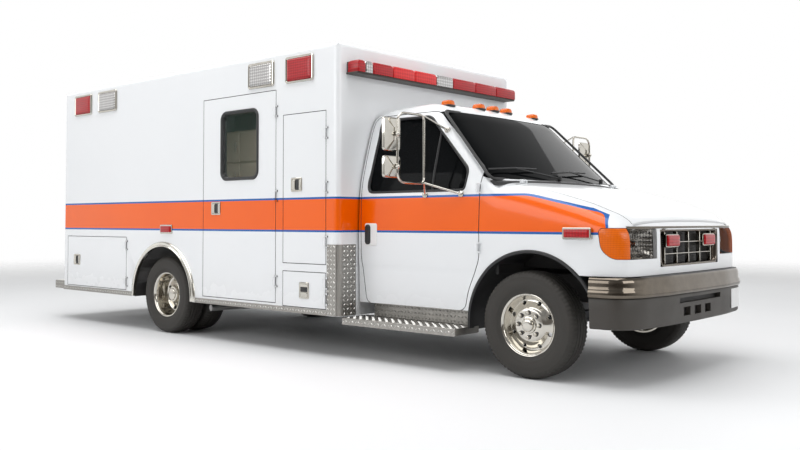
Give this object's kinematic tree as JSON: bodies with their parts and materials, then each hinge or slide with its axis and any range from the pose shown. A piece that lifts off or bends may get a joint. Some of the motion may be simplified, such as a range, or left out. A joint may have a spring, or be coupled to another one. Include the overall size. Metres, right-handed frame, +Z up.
{
  "type": "modular ambulance",
  "caption": "Cutaway-van ambulance: cab in front, box-shaped treatment module behind, side and rear doors, outside lockers, steered front wheels and twin rear wheels.",
  "frame": {"origin": "on the floor, at the middle of the vehicle's length and width", "axes": "+X points forward, +Y to the driver's left, +Z up"},
  "size_m": [7.1, 3.006, 2.54],
  "materials": {
    "white_paint": "gloss",
    "frame_black": "satin",
    "engine_iron": "rough",
    "steel": "satin",
    "tread_plate": "polished",
    "chrome": "polished",
    "rubber": "matt",
    "dark_glass": "gloss",
    "dark_plastic": "grained",
    "grey_plastic": "grained",
    "lamp_clear": "gloss",
    "lamp_red": "gloss",
    "seat_vinyl": "grained",
    "laminate": "satin"
  },
  "bodies": {
    "chassis": {"frame_rails": "frame_black", "crossmembers": "frame_black", "engine": "engine_iron", "front_axle": "frame_black", "rear_axle": "frame_black", "springs": "frame_black", "drive_shaft": "steel", "fuel_tank": "dark_plastic", "exhaust": "steel", "cab_shell": "white_paint", "cab_floor": "dark_plastic", "windshield": "dark_glass", "dashboard": "dark_plastic", "steering_wheel": "dark_plastic", "cab_seats": "seat_vinyl", "grille": "chrome", "front_lamps": "lamp_clear", "front_bumper": "chrome", "front_valance": "grey_plastic", "marker_lights": "lamp_red", "module_shell": "white_paint", "module_floor": "laminate", "module_cabinets": "laminate", "light_bar": "lamp_red", "scene_lights": "lamp_red", "running_boards": "tread_plate", "rear_step": "tread_plate"},
    "hood": {"hood": "white_paint"},
    "cab_door_left": {"cab_door_left": "white_paint", "mirror_left": "chrome"},
    "cab_door_right": {"cab_door_right": "white_paint", "mirror_right": "chrome"},
    "entry_door": {"entry_door": "white_paint"},
    "tall_door": {"tall_door": "white_paint"},
    "low_door": {"low_door": "white_paint"},
    "rear_locker_door": {"rear_locker_door": "white_paint"},
    "left_tall_door": {"left_tall_door": "white_paint"},
    "left_locker_door": {"left_locker_door": "white_paint"},
    "rear_door_left": {"rear_door_left": "white_paint"},
    "rear_door_right": {"rear_door_right": "white_paint"},
    "knuckle_left": {"knuckle_left": "frame_black"},
    "knuckle_right": {"knuckle_right": "frame_black"},
    "front_wheel_left": {"front_tyre_left": "rubber", "front_rim_left": "chrome"},
    "front_wheel_right": {"front_tyre_right": "rubber", "front_rim_right": "chrome"},
    "rear_wheels_left": {"rear_tyres_left": "rubber", "rear_rims_left": "chrome"},
    "rear_wheels_right": {"rear_tyres_right": "rubber", "rear_rims_right": "chrome"}
  },
  "joints": [
    {"name": "hood_hinge", "type": "hinge", "parent": "chassis", "child": "hood", "pos_m": [2.497, 0, 1.39], "axis": [0, -1, 0], "range_deg": [0, 55]},
    {"name": "cab_door_left_hinge", "type": "hinge", "parent": "chassis", "child": "cab_door_left", "pos_m": [2.305, 1.017, 1.1], "axis": [0, 0, -1], "range_deg": [0, 68]},
    {"name": "cab_door_right_hinge", "type": "hinge", "parent": "chassis", "child": "cab_door_right", "pos_m": [2.305, -1.017, 1.1], "axis": [0, 0, 1], "range_deg": [0, 68]},
    {"name": "entry_door_hinge", "type": "hinge", "parent": "chassis", "child": "entry_door", "pos_m": [0.353, -1.229, 1.305], "axis": [0, 0, 1], "range_deg": [0, 95]},
    {"name": "tall_door_hinge", "type": "hinge", "parent": "chassis", "child": "tall_door", "pos_m": [0.963, -1.229, 1.36], "axis": [0, 0, 1], "range_deg": [0, 100]},
    {"name": "low_door_hinge", "type": "hinge", "parent": "chassis", "child": "low_door", "pos_m": [0.963, -1.229, 0.52], "axis": [0, 0, 1], "range_deg": [0, 100]},
    {"name": "rear_locker_door_hinge", "type": "hinge", "parent": "chassis", "child": "rear_locker_door", "pos_m": [-1.957, -1.229, 0.65], "axis": [0, 0, 1], "range_deg": [0, 100]},
    {"name": "left_tall_door_hinge", "type": "hinge", "parent": "chassis", "child": "left_tall_door", "pos_m": [0.963, 1.229, 1.18], "axis": [0, 0, -1], "range_deg": [0, 100]},
    {"name": "left_locker_door_hinge", "type": "hinge", "parent": "chassis", "child": "left_locker_door", "pos_m": [-1.957, 1.229, 0.65], "axis": [0, 0, -1], "range_deg": [0, 100]},
    {"name": "rear_door_left_hinge", "type": "hinge", "parent": "chassis", "child": "rear_door_left", "pos_m": [-3.26, 0.723, 1.5], "axis": [0, 0, -1], "range_deg": [0, 110]},
    {"name": "rear_door_right_hinge", "type": "hinge", "parent": "chassis", "child": "rear_door_right", "pos_m": [-3.26, -0.723, 1.5], "axis": [0, 0, 1], "range_deg": [0, 110]},
    {"name": "steering", "type": "hinge", "parent": "chassis", "child": "knuckle_left", "pos_m": [2.7, 0.775, 0.372], "axis": [0, 0, 1], "range_deg": [-32, 32]},
    {"name": "steering_right", "type": "hinge", "parent": "chassis", "child": "knuckle_right", "pos_m": [2.7, -0.775, 0.372], "axis": [0, 0, 1], "range_deg": [-32, 32]},
    {"name": "front_wheel_left_spin", "type": "hinge", "parent": "knuckle_left", "child": "front_wheel_left", "pos_m": [2.7, 0.8815, 0.372], "axis": [0, 1, 0], "continuous": true},
    {"name": "front_wheel_right_spin", "type": "hinge", "parent": "knuckle_right", "child": "front_wheel_right", "pos_m": [2.7, -0.8815, 0.372], "axis": [0, 1, 0], "continuous": true},
    {"name": "rear_wheels_left_spin", "type": "hinge", "parent": "chassis", "child": "rear_wheels_left", "pos_m": [-1.31, 0.9475, 0.372], "axis": [0, 1, 0], "continuous": true},
    {"name": "rear_wheels_right_spin", "type": "hinge", "parent": "chassis", "child": "rear_wheels_right", "pos_m": [-1.31, -0.9475, 0.372], "axis": [0, 1, 0], "continuous": true}
  ],
  "couplings": [
    {"joint": "steering_right", "follows": "steering", "ratio": 1}
  ]
}
